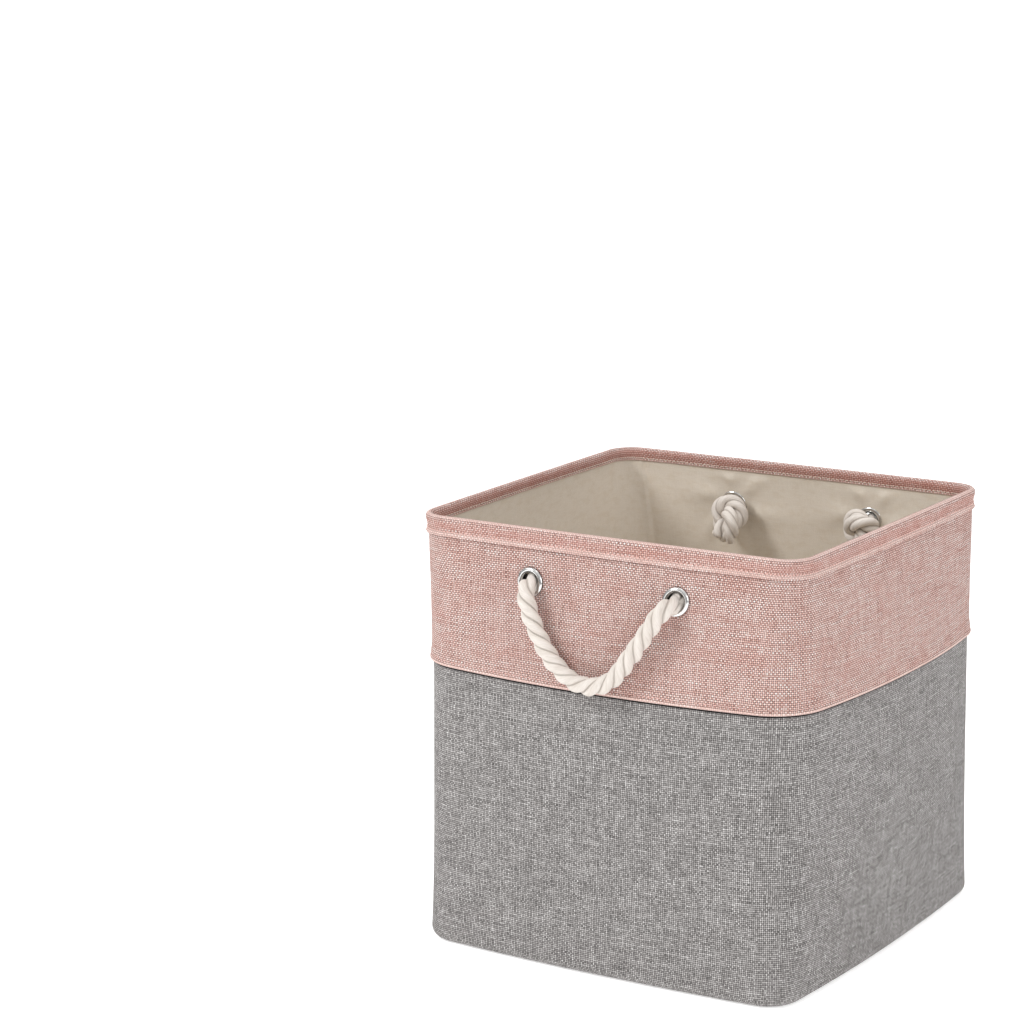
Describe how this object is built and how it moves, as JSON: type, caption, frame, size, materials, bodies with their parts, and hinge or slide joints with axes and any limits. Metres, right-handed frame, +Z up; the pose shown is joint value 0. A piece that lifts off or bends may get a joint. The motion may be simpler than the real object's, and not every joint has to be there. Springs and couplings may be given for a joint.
{
  "type": "fabric storage bin",
  "caption": "Open-topped square fabric storage bin with a wire-rimmed accent band, a lined and boarded interior, and rope handles through eyelets in two opposite walls.",
  "frame": {"origin": "on the floor at the middle of the base", "axes": "+Z up through the open mouth, -Y out of the front wall with the first rope handle, +X to the right seen from the front"},
  "size_m": [0.346, 0.3668, 0.33],
  "materials": {
    "grey_linen": "heathered plain weave of light and dark grey threads, matte",
    "pink_linen": "heathered plain weave of dusty pink and off-white threads, matte",
    "cream_lining": "smooth thin lining cloth, faint satin sheen",
    "cotton_rope": "three-strand twisted cotton rope, undyed, soft and matte",
    "pink_thread": "spun sewing thread",
    "cream_thread": "spun sewing thread",
    "stiff_board": "thin flexible polypropylene board",
    "rim_steel": "drawn spring-steel wire and crimped sleeve",
    "nickel_eyelet": "bright nickel plate"
  },
  "bodies": {
    "bin": {"outer_wall": "grey_linen", "outer_bottom": "grey_linen", "accent_band": "pink_linen", "rim_binding": "pink_linen", "lining_wall": "cream_lining", "lining_floor": "cream_lining", "front_wall_board": "stiff_board", "back_wall_board": "stiff_board", "left_wall_board": "stiff_board", "right_wall_board": "stiff_board", "rim_wire": "rim_steel", "wire_sleeve": "rim_steel", "hem_stitching": "pink_thread", "band_stitching": "pink_thread", "lining_stitching": "cream_thread", "front_left_eyelet": "nickel_eyelet", "front_left_washer": "nickel_eyelet", "front_left_rope_end": "cotton_rope", "front_left_rope_knot": "cotton_rope", "front_right_eyelet": "nickel_eyelet", "front_right_washer": "nickel_eyelet", "front_right_rope_end": "cotton_rope", "front_right_rope_knot": "cotton_rope", "back_left_eyelet": "nickel_eyelet", "back_left_washer": "nickel_eyelet", "back_left_rope_end": "cotton_rope", "back_left_rope_knot": "cotton_rope", "back_right_eyelet": "nickel_eyelet", "back_right_washer": "nickel_eyelet", "back_right_rope_end": "cotton_rope", "back_right_rope_knot": "cotton_rope"},
    "front_handle": {"front_rope_loop": "cotton_rope"},
    "back_handle": {"back_rope_loop": "cotton_rope"},
    "floor_insert": {"floor_board": "stiff_board", "floor_board_cover": "cream_lining"}
  },
  "joints": [
    {"name": "front_handle_swing", "type": "hinge", "parent": "bin", "child": "front_handle", "pos_m": [0.004, -0.169, 0.293], "axis": [-1, 0, 0], "range_deg": [0, 150]},
    {"name": "back_handle_swing", "type": "hinge", "parent": "bin", "child": "back_handle", "pos_m": [0.004, 0.169, 0.293], "axis": [1, 0, 0], "range_deg": [0, 150]},
    {"name": "floor_board_lift", "type": "slide", "parent": "bin", "child": "floor_insert", "axis": [0, 0, 1], "range_m": [0, 0.2]}
  ]
}
